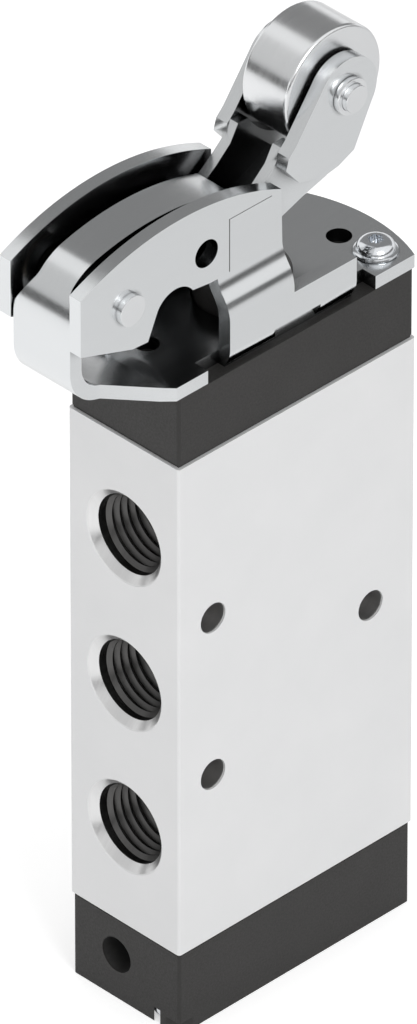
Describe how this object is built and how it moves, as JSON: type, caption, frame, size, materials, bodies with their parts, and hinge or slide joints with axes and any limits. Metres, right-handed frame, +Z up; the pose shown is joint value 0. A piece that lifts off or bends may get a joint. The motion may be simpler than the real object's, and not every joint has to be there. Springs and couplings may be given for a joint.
{
  "type": "roller lever air valve",
  "caption": "Upright spool valve block with threaded air ports, plastic end caps and a sprung roller lever on a stamped bracket that pushes the spool down.",
  "frame": {"origin": "centre of the bottom cap's underside", "axes": "+Z up along the spool, +X along the wide face from the pivot side to the roller side, +Y across the narrow face"},
  "size_m": [0.0588, 0.02, 0.1377],
  "materials": {
    "block_aluminium": "fine matt anodised",
    "cap_plastic": "matt moulded",
    "bracket_steel": "bright zinc-plated sheet",
    "roller_steel": "polished turned",
    "screw_steel": "bright zinc",
    "seal_rubber": "matt",
    "bush_bronze": "sintered",
    "spool_aluminium": "turned",
    "spring_steel": "drawn wire"
  },
  "bodies": {
    "valve_body": {"housing": "block_aluminium", "bottom_gasket": "seal_rubber", "top_gasket": "seal_rubber", "bottom_cap": "cap_plastic", "top_cap": "cap_plastic", "plunger_bush": "bush_bronze", "plunger_wiper": "seal_rubber", "lever_bracket": "bracket_steel", "bracket_screws": "screw_steel", "bottom_screws": "screw_steel", "pivot_pin": "roller_steel", "return_spring": "spring_steel"},
    "lever": {"roller_lever": "bracket_steel", "pivot_bush": "bush_bronze", "roller_axle": "roller_steel", "axle_collar_near": "roller_steel", "axle_collar_far": "roller_steel"},
    "roller": {"roller": "roller_steel", "roller_bush": "bush_bronze"},
    "plunger": {"plunger": "roller_steel", "spool": "spool_aluminium", "spool_seal_1": "seal_rubber", "spool_seal_2": "seal_rubber", "spool_seal_3": "seal_rubber", "spool_seal_4": "seal_rubber", "spool_seal_5": "seal_rubber", "spool_seal_6": "seal_rubber"}
  },
  "joints": [
    {"name": "lever_pivot", "type": "hinge", "parent": "valve_body", "child": "lever", "pos_m": [-0.02725, 0, 0.1159], "axis": [0, 1, 0], "range_deg": [0, 7.5], "stiffness_Nm_per_rad": 1, "springref_deg": -17.19},
    {"name": "roller_spin", "type": "hinge", "parent": "lever", "child": "roller", "pos_m": [0.01215, 0, 0.1292], "axis": [0, 1, 0], "continuous": true},
    {"name": "plunger_slide", "type": "slide", "parent": "valve_body", "child": "plunger", "axis": [0, 0, -1], "range_m": [0, 0.0037], "deforming": ["return_spring"]}
  ],
  "couplings": [
    {"joint": "plunger_slide", "follows": "lever_pivot", "m_per_rad": 0.02826}
  ]
}
